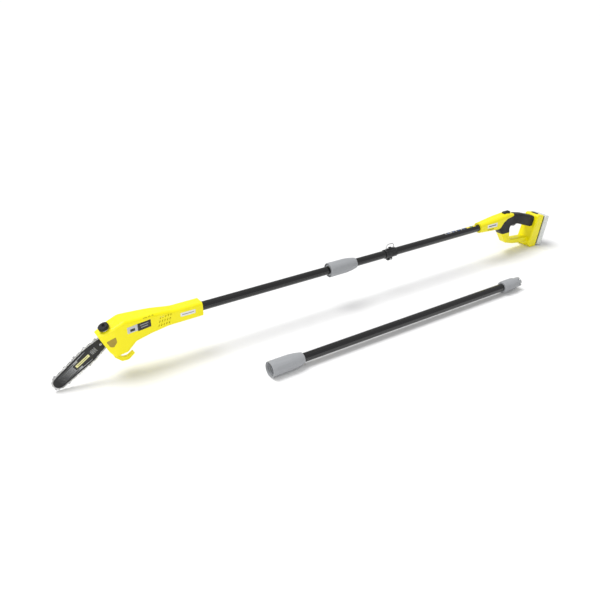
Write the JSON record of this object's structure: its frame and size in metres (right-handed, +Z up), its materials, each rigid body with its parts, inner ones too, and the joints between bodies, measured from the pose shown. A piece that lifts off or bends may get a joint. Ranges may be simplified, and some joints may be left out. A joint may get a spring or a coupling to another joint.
{
  "type": "pole saw",
  "caption": "Battery pole saw on a sectional tube: angled saw head with guide bar and chain, D-grip handle with trigger, threaded pole joint and a loose extension tube.",
  "frame": {"origin": "middle of the foot under the battery housing, on the ground", "axes": "+Z up; +X along the pole from the saw head to the handle; -Y towards the loose extension tube"},
  "size_m": [1.9649, 0.3088, 0.1726],
  "materials": {
    "yellow_housing": "satin moulded",
    "black_housing": "satin moulded",
    "grip_rubber": "matt soft-touch",
    "grey_trim": "satin moulded",
    "nut_grey": "satin moulded",
    "tube_black": "gloss",
    "bar_steel": "satin",
    "chain_steel": "oiled",
    "machined_steel": "bright",
    "gear_nylon": "natural",
    "motor_steel": "plated",
    "plate_alloy": "cast",
    "smoke_pane": "smoke tinted",
    "tank_plastic": "natural",
    "seal_rubber": "smooth",
    "pack_white": "frosted",
    "cell_wrap": "sleeved",
    "board_green": "lacquered",
    "copper": "plated",
    "insert_black": "moulded"
  },
  "bodies": {
    "handle": {"handle_shell_left": "yellow_housing", "handle_shell_right": "yellow_housing", "grip_rubber": "grip_rubber", "handle_tube": "tube_black", "handle_bush": "insert_black", "handle_contacts": "insert_black", "strap_clamp": "black_housing", "clamp_screw": "machined_steel", "trigger_pin": "machined_steel", "switch_unit": "insert_black", "control_board": "board_green", "battery_dock": "black_housing", "dock_terminals": "copper"},
    "head": {"head_shell_left": "yellow_housing", "head_shell_right": "yellow_housing", "sprocket_cover": "yellow_housing", "oil_window": "smoke_pane", "branch_hook": "yellow_housing", "head_tube": "tube_black", "head_collar": "nut_grey", "head_spigot": "nut_grey", "head_pins": "copper", "gear_plate": "plate_alloy", "bar_nuts": "machined_steel", "motor_can": "motor_steel", "oil_tank": "tank_plastic", "saw_chain": "chain_steel"},
    "bar": {"guide_bar": "bar_steel", "tension_slider": "machined_steel"},
    "tension_screw": {"tension_screw": "machined_steel"},
    "rotor": {"motor_rotor": "motor_steel", "motor_pinion": "machined_steel"},
    "idler": {"idler_gear": "gear_nylon"},
    "drive": {"drive_gear": "gear_nylon", "drive_shaft": "machined_steel", "drive_sprocket": "machined_steel"},
    "nose": {"nose_sprocket": "machined_steel"},
    "cap_lift": {"oil_gasket": "seal_rubber"},
    "cap": {"oil_cap": "black_housing"},
    "nut": {"union_nut": "nut_grey"},
    "trigger": {"trigger": "grey_trim"},
    "lock": {"lock_button": "black_housing"},
    "latch": {"pack_latch": "black_housing"},
    "ring": {"strap_ring": "machined_steel"},
    "battery": {"battery_case": "pack_white", "battery_cells": "cell_wrap"},
    "extension": {"extension_tube": "tube_black", "extension_collar": "nut_grey", "extension_spigot": "nut_grey", "extension_pins": "copper", "extension_bush": "insert_black", "extension_contacts": "insert_black"},
    "extension_nut": {"extension_nut": "nut_grey"}
  },
  "joints": [
    {"name": "section_pull", "type": "slide", "parent": "handle", "child": "head", "axis": [-1, 0, 0], "range_m": [0, 0.09]},
    {"name": "bar_tension", "type": "slide", "parent": "head", "child": "bar", "axis": [0.8415, 0, 0.5402], "range_m": [0, 0.005]},
    {"name": "tension_screw_turn", "type": "hinge", "parent": "head", "child": "tension_screw", "pos_m": [-1.7311, 0.0014, 0.10799], "axis": [0.8415, 0, 0.5402], "range_deg": [0, 1800]},
    {"name": "motor_spin", "type": "hinge", "parent": "head", "child": "rotor", "pos_m": [-1.64662, 0, 0.13316], "axis": [0, 1, 0], "continuous": true},
    {"name": "idler_spin", "type": "hinge", "parent": "head", "child": "idler", "pos_m": [-1.66912, 0, 0.13794], "axis": [0, 1, 0], "continuous": true},
    {"name": "drive_spin", "type": "hinge", "parent": "head", "child": "drive", "pos_m": [-1.701, 0, 0.13515], "axis": [0, 1, 0], "continuous": true},
    {"name": "nose_spin", "type": "hinge", "parent": "bar", "child": "nose", "pos_m": [-1.87351, 0.006, 0.0244], "axis": [0, 1, 0], "continuous": true},
    {"name": "cap_lift", "type": "slide", "parent": "head", "child": "cap_lift", "axis": [-0.3714, 0, 0.9285], "range_m": [0, 0.03]},
    {"name": "cap_turn", "type": "hinge", "parent": "cap_lift", "child": "cap", "pos_m": [-1.73593, -0.008, 0.15068], "axis": [-0.3714, 0, 0.9285], "range_deg": [0, 720]},
    {"name": "union_turn", "type": "hinge", "parent": "handle", "child": "nut", "pos_m": [-0.948, 0, 0.13465], "axis": [1, 0, 0], "continuous": true},
    {"name": "trigger_pull", "type": "hinge", "parent": "handle", "child": "trigger", "pos_m": [-0.136, 0, 0.13065], "axis": [0, -1, 0], "range_deg": [0, 6], "stiffness_Nm_per_rad": 1.2, "springref_deg": -6.88},
    {"name": "lock_press", "type": "slide", "parent": "handle", "child": "lock", "axis": [0, 0, -1], "range_m": [0, 0.003], "stiffness_N_per_m": 600, "springref_m": -0.001},
    {"name": "latch_press", "type": "slide", "parent": "handle", "child": "latch", "axis": [0, 0, -1], "range_m": [0, 0.003], "stiffness_N_per_m": 600, "springref_m": -0.001},
    {"name": "ring_swing", "type": "hinge", "parent": "handle", "child": "ring", "pos_m": [-0.739, 0, 0.15335], "axis": [1, 0, 0], "range_deg": [-80, 80]},
    {"name": "battery_slide", "type": "slide", "parent": "handle", "child": "battery", "axis": [0.1959, 0, 0.9806], "range_m": [0, 0.095]},
    {"name": "extension_lift", "type": "slide", "parent": "handle", "child": "extension", "axis": [0, 0, 1], "range_m": [0, 0.3]},
    {"name": "extension_nut_turn", "type": "hinge", "parent": "extension", "child": "extension_nut", "pos_m": [-1.321, -0.25, 0.024], "axis": [1, 0, 0], "continuous": true}
  ],
  "couplings": [
    {"joint": "tension_screw_turn", "follows": "bar_tension", "rad_per_m": 6283.2},
    {"joint": "idler_spin", "follows": "motor_spin", "ratio": -0.35294},
    {"joint": "drive_spin", "follows": "motor_spin", "ratio": 0.4},
    {"joint": "nose_spin", "follows": "motor_spin", "ratio": 0.3},
    {"joint": "cap_turn", "follows": "cap_lift", "rad_per_m": 418.87}
  ]
}
